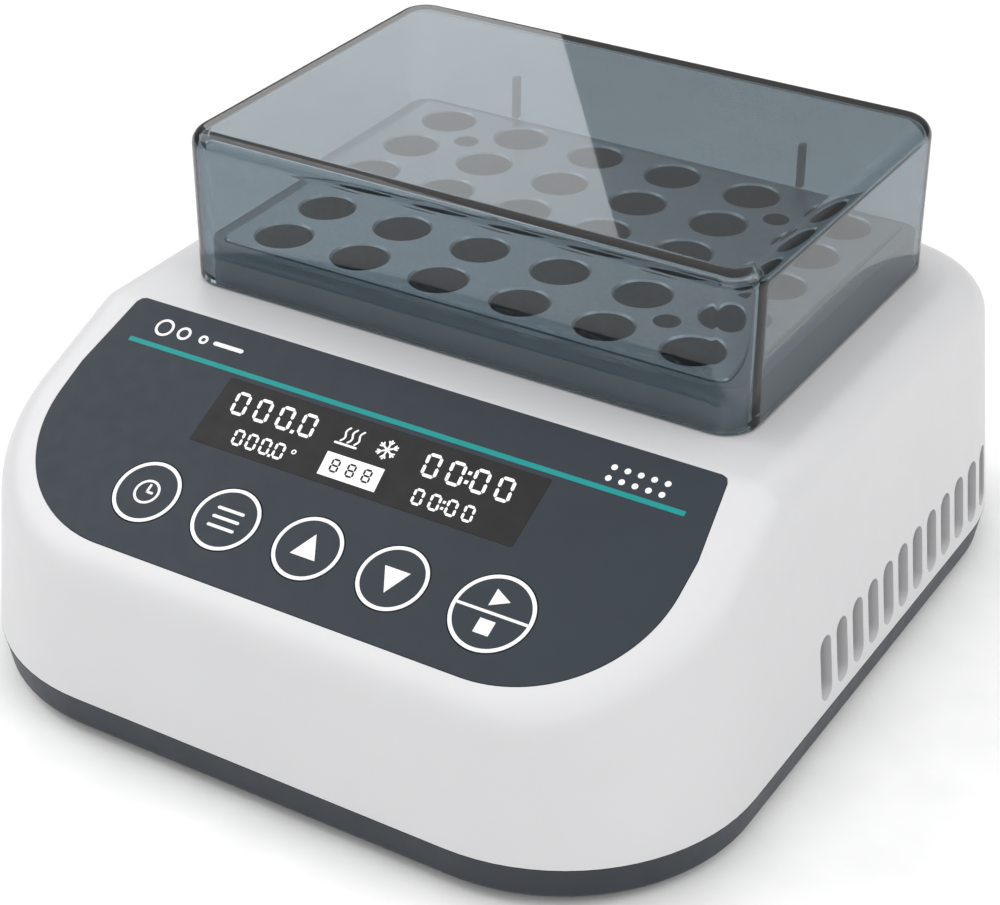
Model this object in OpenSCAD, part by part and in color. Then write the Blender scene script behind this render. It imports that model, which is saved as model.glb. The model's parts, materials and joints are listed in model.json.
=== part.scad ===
// Dry block heater: a benchtop block for small tubes under a clear cover,
// with a sloped control panel at the front (-Y) and the mains inlet at the back (+Y).
// The origin is on the bench, under the middle of the housing.

/* [Housing] */
// Width of the housing at its widest, just above the base tray
body_w = 158; // [150:1:170]
// Depth of the housing, front to back
body_d = 177; // [172:1:190]
// Height of the flat deck above the bench
deck_h = 61.3; // [58:0.1:70]
// Corner radius of the housing, seen from above
corner_r = 39; // [34:1:42]
// Inward lean of the walls, in degrees
wall_draft = 6; // [4:0.5:6]
// Wall thickness of the upper shell
shell_t = 2.6; // [2.2:0.1:2.8]
// Radius of the rounded edge along the sides and the front
side_fillet = 8; // [6:0.5:8]
// Radius of the rounded edge along the back
back_fillet = 24; // [16:1:26]
// Height of the base tray
tray_h = 7.4; // [6:0.1:8]
// Height of the rubber feet below the base tray
foot_h = 2; // [1.5:0.1:3]

/* [Control panel] */
// Slope of the control panel, in degrees
panel_slope = 25; // [22:1:26]
// Distance from the front of the housing back to the top of the slope
slope_start = 54.9; // [54:0.1:58]
// Half width of the panel film
panel_half_w = 65.6; // [62:0.1:66]
// Length of the panel film down the slope
panel_len = 51.7; // [50:0.1:52]
// Radius of the two large corners at the bottom of the film
panel_corner_r = 27.3; // [20:0.1:30]
// Width of the display
display_w = 68.8; // [60:0.1:72]
// Height of the display, down the slope
display_len = 14.9; // [12:0.1:16]
// Radius of the four small keys
key_r = 6.7; // [5:0.1:7]
// Radius of the start key
start_key_r = 7.8; // [6:0.1:8]
// Travel of a key
key_travel = 0.5; // [0.3:0.1:0.6]

/* [Block and cover] */
// Number of wells across
well_columns = 6; // [4:1:6]
// Number of wells front to back
well_rows = 5; // [3:1:5]
// Distance between wells across
well_pitch_x = 17.75; // [14:0.05:17.75]
// Distance between wells front to back
well_pitch_y = 14.6; // [13:0.05:14.6]
// Diameter of a well
well_d = 11; // [8:0.1:11.5]
// Height of the block
block_h = 35; // [33:1:36]
// How far the block stands above the deck
block_rise = 8.9; // [5:0.1:12]
// Height of the clear cover
cover_h = 31.4; // [28:0.1:60]
// Wall thickness of the clear cover
cover_t = 2.8; // [2:0.1:2.8]

/* [Hidden] */
$fn = 64;
eps = 0.02;

// Housing
split_z = foot_h + tray_h;
half_w = body_w / 2;
half_d = body_d / 2;
knee_y = slope_start - half_d;
wall_lean = tan(wall_draft);
slope_fall = tan(panel_slope);
tray_inset = 1;
tray_floor_t = 2.5;
foot_x = 54;
foot_y = 58;
foot_r = 7.2;
foot_seat = 0.8;
tray_floor_z = foot_h + tray_floor_t;
arc_steps = 7;

// Block, its plate and its heat sink, from the top down
block_y = 18.3;
block_w = (well_columns - 1) * well_pitch_x + 19.5;
block_len = (well_rows - 1) * well_pitch_y + 14.4;
block_top = deck_h + block_rise;
block_bottom = block_top - block_h;
plate_t = 5;
plate_screw_x = 1.5 * well_pitch_x;
plate_screw_y = 1.5 * well_pitch_y;
plate_bottom = block_bottom - plate_t;
module_t = 3.6;
sink_top = plate_bottom - module_t;
sink_bottom = tray_floor_z + 4;
sink_w = 100;
sink_len = 72;

// Cover
cover_w = 120.8;
cover_len = 83;
cover_r = 7;
cover_edge_r = 3;
cover_foot = deck_h + eps;

// Insulating collar between the block and the cover's inner face
collar_gap = 0.2;
collar_w = cover_w - 2 * cover_t - 0.8;
collar_len = cover_len - 2 * cover_t - 0.8;
collar_r = 4;
collar_top = block_top - 0.6;
collar_low = deck_h - 11;

// Panel parts: distances down the slope from its top edge, and depths below its surface
display_v = 11.1;
corner_steps = 28;
overlay_t = 0.5;
overlay_sunk = 0.4;
lcd_t = 2.8;
ceiling_gap = 0.15;
lcd_bottom = -shell_t - ceiling_gap - lcd_t;
board_top = -9.1;
board_t = 1.6;
board_boss_x = 46;
board_boss_v = [8, 31];
key_v = 38.9;
key_pitch = 17.7;
key_x = [-2 * key_pitch, -key_pitch, 0, key_pitch, 37.6];
key_gap = 0.3;
key_stem_r = 2;
key_stem_bottom = -4;

// Vents
vent_count = 12;
vent_pitch = 6.95;
vent_w = 4.6;
vent_low = 11.6;
vent_high = 25;

// Screws that hold the housing together
boss_at = [[-34, -79], [34, -79], [-50, 74], [50, 74]];
boss_r = 4;
screw_r = 1.5;
screw_head_r = 2.8;

// Rear of the housing
rear_pad_y = 87.4;
rear_pad_inner_y = 83;
rear_pad_low = split_z + 2.2;
rear_pad_half_w = 38;
rear_pad_top = 36;
inlet_x = -20;
fuse_x = 5;
switch_x = 24;
rear_z = 23;
rocker_throw = 12;
rocker_depth = 4.5;
rocker_pin_r = 1.2;

// Fan
fan_x = -65.5;
fan_size = 40;
fan_t = 10;
fan_z = 26;
fan_bore_r = 18.6;
fan_pin_r = 1.5;

white = [0.93, 0.93, 0.94];
slate = [0.22, 0.26, 0.30];
smoke = [0.45, 0.52, 0.58, 0.5];
aluminium = [0.72, 0.73, 0.75];
copper_green = [0.10, 0.35, 0.20];
black = [0.12, 0.12, 0.13];
steel = [0.78, 0.79, 0.80];

// ---------- shared shapes ----------

// A rectangle with round corners, centred on the origin.
module rounded_plate(w, len, r, h) {
    linear_extrude(h) {
        square([w - 2 * r, len], center = true);
        square([w, len - 2 * r], center = true);
        for (x = [-1, 1], y = [-1, 1])
            translate([x * (w / 2 - r), y * (len / 2 - r)]) circle(r);
    }
}

module block_at(x, y, z, w, len, h) {
    translate([x - w / 2, y - len / 2, z]) cube([w, len, h]);
}

// A screw with its head down at z = 0 and its shank upwards.
module screw_up(length) {
    cylinder(r = screw_head_r, h = 1.6);
    cylinder(r = screw_r - 0.05, h = length);
}

// Places children on the sloped panel: x across, y up the slope, z out of it.
module on_panel() {
    translate([0, knee_y, deck_h]) rotate([panel_slope, 0, 0]) children();
}

// ---------- housing form ----------

// Direction and position of each point round the widest outline of the housing.
outline_angles = [for (corner = [0:3], i = [0:arc_steps]) 90 * (corner + i / arc_steps)];
function corner_sign(v) = v >= 0 ? 1 : -1;
function corner_centre(i) =
    let (mid = 90 * floor(i / (arc_steps + 1)) + 45)
    [corner_sign(cos(mid)) * (half_w - corner_r), corner_sign(sin(mid)) * (half_d - corner_r)];
function edge_radius(a) =
    side_fillet * pow(cos(a), 2) + (sin(a) > 0 ? back_fillet : side_fillet) * pow(sin(a), 2);

// Centre of the ball that rounds the top edge at outline point i: it touches the leaning
// wall, and either the deck or, in front of the knee, the slope.
function ball_centre(i) =
    let (
        a = outline_angles[i],
        r = edge_radius(a),
        c = corner_centre(i),
        knee = knee_y + r * tan(panel_slope / 2),
        ball_inset = r / cos(wall_draft),
        flat_z = deck_h - r,
        y_base = c[1] + sin(a) * (corner_r - ball_inset + wall_lean * split_z),
        y_flat = y_base - sin(a) * wall_lean * flat_z,
        z_slope = (flat_z + slope_fall * (y_base - knee)) / (1 + slope_fall * sin(a) * wall_lean),
        z = y_flat < knee ? z_slope : flat_z,
        reach = corner_r - ball_inset - wall_lean * (z - split_z)
    )
    [c[0] + cos(a) * reach, c[1] + sin(a) * reach, z];

// Ball where the knee of the slope meets the rounded side edge.
function knee_ball(side) =
    let (
        z = deck_h - side_fillet,
        x = half_w - side_fillet / cos(wall_draft) - wall_lean * (z - split_z)
    )
    [side * x, knee_y + side_fillet * tan(panel_slope / 2), z];

// The closed outer form of the shell, pulled in by inset on every side and
// started lower by drop, so that a smaller copy can hollow out a larger one.
module body_form(inset = 0, drop = 0) {
    hull() {
        translate([0, 0, split_z - drop])
            linear_extrude(eps)
                polygon([for (i = [0:len(outline_angles) - 1])
                    let (a = outline_angles[i])
                    corner_centre(i) + (corner_r - inset) * [cos(a), sin(a)]]);
        for (i = [0:len(outline_angles) - 1])
            translate(ball_centre(i)) sphere(edge_radius(outline_angles[i]) - inset, $fn = 32);
        for (side = [-1, 1])
            translate(knee_ball(side)) sphere(side_fillet - inset, $fn = 32);
    }
}

module vent_slots() {
    middle = (vent_low + vent_high) / 2;
    flat = vent_high - vent_low - vent_w;
    for (i = [0:vent_count - 1])
        translate([0, (i - (vent_count - 1) / 2) * vent_pitch + block_y, middle])
            rotate([0, 90, 0])
                linear_extrude(body_w + 10, center = true) {
                    square([flat, vent_w], center = true);
                    for (s = [-1, 1]) translate([s * flat / 2, 0]) circle(vent_w / 2);
                }
}

module housing_bosses() {
    for (p = boss_at)
        translate([p[0], p[1], split_z]) cylinder(r = boss_r, h = deck_h);
}

module board_bosses() {
    on_panel()
        for (x = [-board_boss_x, board_boss_x], v = board_boss_v)
            translate([x, -v, board_top]) cylinder(r = 3, h = -board_top);
}

// Flat seat behind the inlet, the fuse and the switch.
module rear_pad() {
    translate([-rear_pad_half_w, rear_pad_inner_y, rear_pad_low])
        cube([2 * rear_pad_half_w, rear_pad_y - rear_pad_inner_y, rear_pad_top - rear_pad_low]);
}

// Levels the low part of the leaning rear wall, which stands out past the pad.
module rear_pad_face() {
    face_low = split_z + 1.2;
    translate([-rear_pad_half_w, rear_pad_y, face_low])
        cube([2 * rear_pad_half_w, 5, rear_pad_top - face_low]);
}

module rear_openings() {
    translate([inlet_x - 14, 60, rear_z - 10]) cube([28, 40, 20]);
    translate([fuse_x, 60, rear_z]) rotate([-90, 0, 0]) cylinder(r = 5.2, h = 40);
    translate([switch_x - 9.5, 60, rear_z - 6.5]) cube([19, 40, 13]);
}

// Outline of the panel film, grown by grow: a straight top, sides that follow the
// housing, and two large round corners at the bottom.
module panel_outline(grow, h) {
    side = panel_half_w + grow;
    low = -panel_len - grow;
    top_half = side - 2.4;
    r = panel_corner_r + grow;
    right_corner = [for (i = [0:corner_steps]) let (a = -90 * i / corner_steps)
        [side - r + r * cos(a), low + r + r * sin(a)]];
    left_corner = [for (i = [0:corner_steps]) let (a = -90 - 90 * i / corner_steps)
        [-side + r + r * cos(a), low + r + r * sin(a)]];
    linear_extrude(h)
        polygon(concat([[-side, low + r + 7], [-top_half, grow], [top_half, grow], [side, low + r + 7]],
                       right_corner, left_corner));
}

module display_outline(h) {
    translate([-display_w / 2, -display_v - display_len, 0]) cube([display_w, display_len, h]);
}

function radius_of_key(i) = i == 4 ? start_key_r : key_r;

module key_holes() {
    for (i = [0:4])
        translate([key_x[i], -key_v, -6]) cylinder(r = radius_of_key(i) + key_gap, h = 12);
}

module upper_shell() {
    color(white) difference() {
        union() {
            body_form();
            rear_pad();
        }
        difference() {
            body_form(shell_t, 1);
            housing_bosses();
            board_bosses();
            rear_pad();
        }
        vent_slots();
        rear_pad_face();
        rear_openings();
        translate([0, block_y, deck_h - 10])
            rounded_plate(collar_w, collar_len, collar_r, 20);
        on_panel() {
            translate([0, 0, -overlay_sunk]) panel_outline(0.1, 2);
            translate([0, 0, -6]) display_outline(10);
            key_holes();
            for (x = [-board_boss_x, board_boss_x], v = board_boss_v)
                translate([x, -v, board_top - 1]) cylinder(r = screw_r, h = 7);
        }
        for (p = boss_at)
            translate([p[0], p[1], split_z - 1]) cylinder(r = screw_r, h = 10);
    }
}

module base_tray() {
    color(slate) difference() {
        union() {
            hull() {
                translate([0, 0, foot_h])
                    rounded_plate(body_w - 2 * tray_inset, body_d - 2 * tray_inset, corner_r - tray_inset, eps);
                translate([0, 0, split_z - eps]) rounded_plate(body_w, body_d, corner_r, eps);
            }
            translate([0, 0, foot_h + 1])
                rounded_plate(body_w - 2 * shell_t - 1, body_d - 2 * shell_t - 1, corner_r - shell_t - 0.5, tray_h + 1);
        }
        difference() {
            translate([0, 0, tray_floor_z])
                rounded_plate(body_w - 4 * shell_t, body_d - 4 * shell_t, corner_r - 2 * shell_t, tray_h + 4);
            for (p = boss_at)
                translate([p[0], p[1], foot_h]) cylinder(r = boss_r, h = tray_h);
            for (x = [-1, 1], y = [-1, 1])
                block_at(x * 40, block_y + y * 30, foot_h + 1, 10, 8, sink_bottom - foot_h - 1);
        }
        for (p = boss_at) translate([p[0], p[1], foot_h - 1]) {
            cylinder(r = screw_r + 0.2, h = tray_h + 4);
            cylinder(r = screw_head_r + 0.3, h = 3.2);
        }
        for (x = [-1, 1], y = [-1, 1])
            translate([x * foot_x, y * foot_y, foot_h - 1]) cylinder(r = foot_r, h = 1 + foot_seat);
    }
}

module rubber_feet() {
    color(black)
        for (x = [-1, 1], y = [-1, 1])
            translate([x * foot_x, y * foot_y, 0]) {
                cylinder(r1 = foot_r - 0.8, r2 = foot_r, h = foot_h);
                translate([0, 0, foot_h]) cylinder(r = foot_r, h = foot_seat);
            }
}

module housing_screws() {
    color(steel)
        for (p = boss_at) translate([p[0], p[1], foot_h + 0.6]) screw_up(14);
}

// ---------- control panel ----------

module control_overlay() {
    color(slate) on_panel() difference() {
        translate([0, 0, -overlay_sunk]) panel_outline(0, overlay_t);
        translate([0, 0, -6]) display_outline(10);
        key_holes();
    }
}

module display_window() {
    color([0.1, 0.1, 0.1, 0.6]) on_panel()
        translate([0, 0, -shell_t]) display_outline(shell_t + 0.1);
}

module lcd_module() {
    color(black) on_panel()
        translate([-37.5, -29.5, lcd_bottom]) cube([75, 22, lcd_t]);
}

module lcd_backlight() {
    color("ivory") on_panel()
        translate([-36, -28.5, board_top]) cube([72, 20, lcd_bottom - board_top]);
}

module control_board() {
    color(copper_green) on_panel() difference() {
        translate([-50, -48, board_top - board_t]) cube([100, 44, board_t]);
        for (x = [-board_boss_x, board_boss_x], v = board_boss_v)
            translate([x, -v, board_top - 3]) cylinder(r = screw_r + 0.2, h = 5);
    }
}

module key_switches() {
    body_h = 3.5;
    color(black) on_panel()
        for (x = key_x) translate([x, -key_v, board_top]) {
            translate([-3, -3, 0]) cube([6, 6, body_h]);
            cylinder(r = 1.75, h = key_stem_bottom - key_travel - 0.3 - board_top);
        }
}

module board_screws() {
    color(steel) on_panel()
        for (x = [-board_boss_x, board_boss_x], v = board_boss_v)
            translate([x, -v, board_top - board_t - 1.6]) screw_up(8);
}

module key(i) {
    color(slate) on_panel() translate([key_x[i], -key_v, 0]) {
        translate([0, 0, -0.9]) cylinder(r = radius_of_key(i), h = 1);
        translate([0, 0, key_stem_bottom]) cylinder(r = key_stem_r, h = 3.5);
    }
}

// ---------- block, heating and cooling ----------

module well() {
    straight = 18;
    translate([0, 0, -straight]) cylinder(r = well_d / 2, h = straight + 1);
    translate([0, 0, -31]) cylinder(r1 = 2, r2 = well_d / 2, h = 31 - straight + eps);
    translate([0, 0, -0.4]) cylinder(r1 = well_d / 2, r2 = well_d / 2 + 0.5, h = 0.5);
}

// The small holes lie midway between four wells, in three of the four corner cells.
puller_cells = [[-1, 1], [1, 1], [1, -1]];

module heating_block() {
    column_0 = -(well_columns - 1) / 2;
    row_0 = -(well_rows - 1) / 2;
    color(aluminium) translate([0, block_y, 0]) difference() {
        translate([0, 0, block_bottom]) rounded_plate(block_w, block_len, 2, block_h);
        for (i = [0:well_columns - 1], j = [0:well_rows - 1])
            translate([(column_0 + i) * well_pitch_x, (row_0 + j) * well_pitch_y, block_top]) well();
        for (cell = puller_cells)
            translate([-cell[0] * (column_0 + 0.5) * well_pitch_x,
                       -cell[1] * (row_0 + 0.5) * well_pitch_y, block_top - 20])
                cylinder(r = 2.6, h = 30);
        for (x = [-1, 1], y = [-1, 1])
            translate([x * plate_screw_x, y * plate_screw_y, block_bottom - 1]) cylinder(r = screw_r, h = 4);
    }
}

module block_collar() {
    flange_t = 3;
    color([0.45, 0.48, 0.51]) translate([0, block_y, 0]) difference() {
        union() {
            translate([0, 0, collar_low])
                rounded_plate(collar_w, collar_len, collar_r, collar_top - collar_low);
            translate([0, 0, deck_h - shell_t - ceiling_gap - flange_t])
                rounded_plate(collar_w + 4, collar_len + 4, collar_r + 2, flange_t);
        }
        translate([0, 0, collar_low - 1])
            rounded_plate(block_w + 2 * collar_gap, block_len + 2 * collar_gap, 2, 40);
    }
}

module insulation_frame() {
    wall = 4.5;
    color([0.85, 0.80, 0.55]) translate([0, block_y, sink_top]) difference() {
        rounded_plate(block_w + 2 * wall, block_len + 2 * wall, 4, collar_low - sink_top);
        translate([0, 0, -1])
            rounded_plate(block_w + 2 * collar_gap, block_len + 2 * collar_gap, 2, 60);
        translate([0, -block_len / 2 + 1, plate_bottom + plate_t / 2 - sink_top])
            rotate([90, 0, 0]) cylinder(r = 2.6, h = 10);
    }
}

module heater_plate() {
    color(aluminium) translate([0, block_y, plate_bottom]) difference() {
        rounded_plate(block_w, block_len, 2, plate_t);
        for (x = [-1, 1], y = [-1, 1])
            translate([x * plate_screw_x, y * plate_screw_y, -1]) cylinder(r = screw_r + 0.1, h = 10);
        translate([0, -block_len / 2 - 1, plate_t / 2]) rotate([-90, 0, 0]) cylinder(r = 1.6, h = 25);
    }
}

module heater_modules() {
    color([0.92, 0.91, 0.88])
        for (x = [-1, 1]) block_at(x * plate_screw_x, block_y, sink_top, 40, 30, module_t);
}

module block_screws() {
    color(steel)
        for (x = [-1, 1], y = [-1, 1])
            translate([x * plate_screw_x, block_y + y * plate_screw_y, plate_bottom - 1.6]) screw_up(9);
}

module temperature_sensor() {
    color(steel) translate([0, block_y - block_len / 2 - 2, plate_bottom + plate_t / 2])
        rotate([-90, 0, 0]) {
            cylinder(r = 1.5, h = 22);
            translate([0, 0, -3]) cylinder(r = 2.2, h = 4.9);
        }
}

module thermal_cutout() {
    color(black) translate([0, block_y, plate_bottom - 3]) {
        cylinder(r = 4.6, h = 3);
        translate([-6.2, -0.8, 0]) cube([12.4, 1.6, 1]);
    }
}

module heat_sink() {
    fin_count = 16;
    fin_t = 1.6;
    base_t = 4;
    gap = (sink_len - fin_t) / (fin_count - 1);
    color(aluminium) {
        block_at(0, block_y, sink_top - base_t, sink_w, sink_len, base_t);
        for (i = [0:fin_count - 1])
            block_at(0, block_y - (sink_len - fin_t) / 2 + i * gap, sink_bottom,
                     sink_w, fin_t, sink_top - base_t - sink_bottom + eps);
    }
}

// Places children on the fan's axis, which runs along x.
module on_fan() {
    translate([fan_x, block_y, fan_z]) rotate([0, 90, 0]) children();
}

module fan_frame() {
    color(black) on_fan() {
        difference() {
            translate([-fan_size / 2, -fan_size / 2, -fan_t / 2]) cube([fan_size, fan_size, fan_t]);
            translate([0, 0, -fan_t]) cylinder(r = fan_bore_r, h = 2 * fan_t);
            for (x = [-1, 1], y = [-1, 1])
                translate([x * 16, y * 16, -fan_t]) cylinder(r = 1.75, h = 2 * fan_t);
        }
        for (a = [0, 120, 240])
            rotate([0, 0, a]) translate([5, -1.2, 3.7]) cube([fan_bore_r - 4, 2.4, 0.9]);
        translate([0, 0, 3.5]) cylinder(r = 9.5, h = 1.3);
        translate([0, 0, -3.5]) cylinder(r = fan_pin_r, h = 7.5);
    }
    // Bracket that stands the fan on the tray
    color(black) translate([fan_x - fan_t / 2, block_y - 12, tray_floor_z])
        cube([fan_t, 24, fan_z - fan_size / 2 - tray_floor_z]);
}

module fan_rotor() {
    blades = 7;
    color([0.2, 0.2, 0.21]) on_fan() difference() {
        union() {
            translate([0, 0, -4.5]) cylinder(r = 9.5, h = 7.6);
            for (i = [0:blades - 1])
                rotate([0, 0, i * 360 / blades])
                    translate([9, 0, -0.6]) rotate([35, 0, 0]) translate([0, -0.5, -3.6]) cube([8.6, 1, 7.2]);
        }
        translate([0, 0, -4]) cylinder(r = fan_pin_r + 0.05, h = 10);
    }
}

// ---------- power supply ----------

power_board_z = tray_floor_z + 6;
power_board_y = -52;

module power_board() {
    color(copper_green) difference() {
        block_at(0, power_board_y, power_board_z, 92, 42, board_t);
        for (x = [-1, 1], y = [-1, 1])
            translate([x * 42, power_board_y + y * 17, power_board_z - 1]) cylinder(r = screw_r, h = 4);
    }
}

module board_standoffs() {
    color(steel)
        for (x = [-1, 1], y = [-1, 1])
            translate([x * 42, power_board_y + y * 17, tray_floor_z]) {
                cylinder(r = 2.8, h = 6, $fn = 6);
                cylinder(r = screw_r - 0.05, h = 6 + board_t + 0.2);
                translate([0, 0, 6 + board_t]) cylinder(r = screw_head_r, h = 1.8);
            }
}

module transformer() {
    color([0.85, 0.75, 0.2]) translate([0, 0, power_board_z + board_t]) {
        block_at(-8, power_board_y, 0, 26, 20, 15);
        block_at(-8, power_board_y, 4, 30, 12, 7);
    }
}

module capacitors() {
    color([0.15, 0.18, 0.3])
        for (p = [[-34, 6, 7], [18, 5, 6], [32, 6, 5]])
            translate([p[0], power_board_y - 4, power_board_z + board_t]) {
                cylinder(r = p[1], h = p[2] * 2);
                translate([0, 15, 0]) cylinder(r = p[1] * 0.6, h = p[2] * 1.4);
            }
}

// ---------- rear ----------

module inlet_body() {
    color(black) difference() {
        union() {
            translate([inlet_x - 15.5, rear_pad_y, rear_z - 12]) cube([31, 1, 24]);
            translate([inlet_x - 13.9, rear_pad_y - 16, rear_z - 9.9]) cube([27.8, 16.5, 19.8]);
        }
        translate([inlet_x - 12, rear_pad_y - 14, rear_z - 8]) cube([24, 20, 16]);
        inlet_pin_bars();
    }
}

module inlet_pin_bars() {
    for (p = [[-7, -2], [0, 2], [7, -2]])
        translate([inlet_x + p[0] - 1, rear_pad_y - 22, rear_z + p[1] - 2]) cube([2, 19, 4]);
}

module inlet_pins() {
    color(steel) inlet_pin_bars();
}

module fuse_holder() {
    color(black) translate([fuse_x, rear_pad_y, rear_z]) rotate([90, 0, 0]) difference() {
        union() {
            translate([0, 0, -0.6]) cylinder(r = 6.4, h = 0.6);
            cylinder(r = 5.1, h = 17);
        }
        translate([0, 0, -1]) cylinder(r = 3.8, h = 16);
    }
}

module fuse_cap() {
    color([0.2, 0.2, 0.21]) translate([fuse_x, rear_pad_y, rear_z]) rotate([90, 0, 0]) difference() {
        union() {
            translate([0, 0, -1]) cylinder(r = 5.6, h = 0.4);
            translate([0, 0, -0.7]) cylinder(r = 3.75, h = 14);
        }
        translate([-3, -0.5, -1.5]) cube([6, 1, 0.9]);
    }
}

module switch_frame() {
    color(black) difference() {
        union() {
            translate([switch_x - 10.5, rear_pad_y, rear_z - 7.5]) cube([21, 1, 15]);
            translate([switch_x - 9.4, rear_pad_y - 14, rear_z - 6.4]) cube([18.8, 14.5, 12.8]);
        }
        translate([switch_x - 8.4, rear_pad_y - 9, rear_z - 5.4]) cube([16.8, 20, 10.8]);
        rocker_pin(rocker_pin_r + 0.1, 5.9);
    }
}

module rocker_pin(r, reach) {
    translate([switch_x, rear_pad_y - rocker_depth, rear_z - reach]) cylinder(r = r, h = 2 * reach);
}

// The rocker turns about a vertical axis; it rests with its left end pressed in.
module switch_rocker() {
    color([0.16, 0.16, 0.17]) {
        translate([switch_x, rear_pad_y - rocker_depth, rear_z]) rotate([0, 0, rocker_throw / 2])
            difference() {
                translate([-7.6, -2.5, -5]) cube([15.2, 6.2, 10]);
                translate([0, 26, -6]) cylinder(r = 23, h = 12, $fn = 96);
            }
        rocker_pin(rocker_pin_r, 5.8);
    }
}

// ---------- cover ----------

module tube_cover() {
    rib_x = 33;
    color(smoke) translate([0, block_y, 0]) difference() {
        union() {
            difference() {
                cover_solid(0);
                cover_solid(cover_t);
            }
            for (s = [-1, 1])
                block_at(s * rib_x, cover_len / 2 - cover_t, cover_foot + 9, 1.2, 1.6, 9);
        }
        translate([0, 0, cover_foot - 10]) rounded_plate(200, 200, 1, 10);
    }
}

// A box with round upright edges and a rounded top edge, pulled in by inset.
module cover_solid(inset) {
    w = cover_w - 2 * inset;
    len = cover_len - 2 * inset;
    r = cover_r - inset;
    edge = max(cover_edge_r - inset, 0.6);
    top = cover_foot + cover_h - inset;
    translate([0, 0, cover_foot - inset]) rounded_plate(w, len, r, top - edge - cover_foot + inset);
    hull() {
        for (x = [-1, 1], y = [-1, 1])
            translate([x * (w / 2 - r), y * (len / 2 - r), top - edge])
                rotate_extrude($fn = 32) {
                    square([r - edge, edge]);
                    translate([r - edge, 0]) intersection() {
                        circle(edge, $fn = 24);
                        square(edge);
                    }
                }
    }
}

upper_shell();
base_tray();
rubber_feet();
housing_screws();
control_overlay();
display_window();
lcd_module();
lcd_backlight();
control_board();
key_switches();
board_screws();
block_collar();
heating_block();
block_screws();
heater_plate();
heater_modules();
heat_sink();
insulation_frame();
temperature_sensor();
thermal_cutout();
fan_frame();
fan_rotor();
power_board();
board_standoffs();
transformer();
capacitors();
inlet_body();
inlet_pins();
fuse_holder();
fuse_cap();
switch_frame();
switch_rocker();
tube_cover();
key(0);  // program_key
key(1);  // menu_key
key(2);  // up_key
key(3);  // down_key
key(4);  // start_key
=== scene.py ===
"""Looks of the dry block heater: smooth shells, clear cover, panel graphics, materials, light and camera."""

import json
import math

import bmesh
import bpy
from mathutils import Matrix, Vector


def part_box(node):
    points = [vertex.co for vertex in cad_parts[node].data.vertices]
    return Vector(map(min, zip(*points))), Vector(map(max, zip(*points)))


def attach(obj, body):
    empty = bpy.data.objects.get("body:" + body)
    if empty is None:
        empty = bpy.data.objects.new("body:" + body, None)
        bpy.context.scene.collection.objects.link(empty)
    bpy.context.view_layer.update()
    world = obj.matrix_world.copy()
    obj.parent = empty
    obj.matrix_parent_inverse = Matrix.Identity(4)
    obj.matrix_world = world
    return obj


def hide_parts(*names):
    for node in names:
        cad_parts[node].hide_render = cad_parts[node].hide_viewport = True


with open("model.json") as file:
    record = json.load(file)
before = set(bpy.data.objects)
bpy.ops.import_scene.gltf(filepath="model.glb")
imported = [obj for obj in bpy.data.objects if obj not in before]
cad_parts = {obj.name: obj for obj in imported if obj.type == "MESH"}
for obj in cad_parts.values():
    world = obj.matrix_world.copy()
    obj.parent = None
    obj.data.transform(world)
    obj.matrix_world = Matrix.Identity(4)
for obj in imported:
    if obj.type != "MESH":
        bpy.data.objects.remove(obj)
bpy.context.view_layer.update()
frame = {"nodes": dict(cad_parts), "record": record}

MM = 0.001

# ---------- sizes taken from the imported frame, in millimetres ----------


def box_mm(node):
    """Lowest and highest corners of a CAD node, in millimetres."""
    low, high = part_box(node)
    return Vector(low) / MM, Vector(high) / MM


shell_low, shell_high = box_mm("upper_shell")
tray_low, tray_high = box_mm("base_tray")
cover_low, cover_high = box_mm("tube_cover")
block_low, block_high = box_mm("heating_block")
collar_low, collar_high = box_mm("block_collar")

HALF_W = (shell_high.x - shell_low.x) / 2
HALF_D = (shell_high.y - shell_low.y) / 2
DECK_Z = shell_high.z
TRAY_BOTTOM = tray_low.z
SPLIT_Z = 9.4
BLOCK_Y = (block_low.y + block_high.y) / 2
BLOCK_TOP = block_high.z
CORNER_R = 39.0
DRAFT = math.radians(6)
LEAN = math.tan(DRAFT)
SHELL_T = 2.6
SIDE_FILLET = 8.0
BACK_FILLET = 24.0
SLOPE = math.radians(25)
KNEE_Y = 54.9 - HALF_D
PANEL_HALF_W = 65.6
PANEL_LEN = 51.7
PANEL_CORNER_R = 27.3
KEY_V = 38.9
KEY_X = {"program_key": -35.4, "menu_key": -17.7, "up_key": 0.0, "down_key": 17.7, "start_key": 37.6}
KEY_R = {"start_key": 7.8}
SMALL_KEY_R = 6.7
REAR_PAD_Y = 87.4

# Layout of the display, in panel coordinates: x across, y up the slope from its top edge
DISPLAY_W = 68.8
DISPLAY_LEN = 14.9
DISPLAY_Y = -18.55

# Rear of the housing
REAR_PAD_HALF_W = 38
REAR_PAD_INNER_Y = 83
REAR_PAD_TOP = 36
REAR_Z = 23
FUSE_X = 5
FUSE_HOLE_R = 5.2

# Side vents
VENT_COUNT = 12
VENT_PITCH = 6.95
VENT_W = 4.6
VENT_LOW = 11.6
VENT_HIGH = 25.0

# Underside
FOOT_AT = [(x, y) for x in (-54, 54) for y in (-58, 58)]
FOOT_R = 7.2
SCREW_AT = [(-34, -79), (34, -79), (-50, 74), (50, 74)]
SCREW_HEAD_R = 3.1

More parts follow.
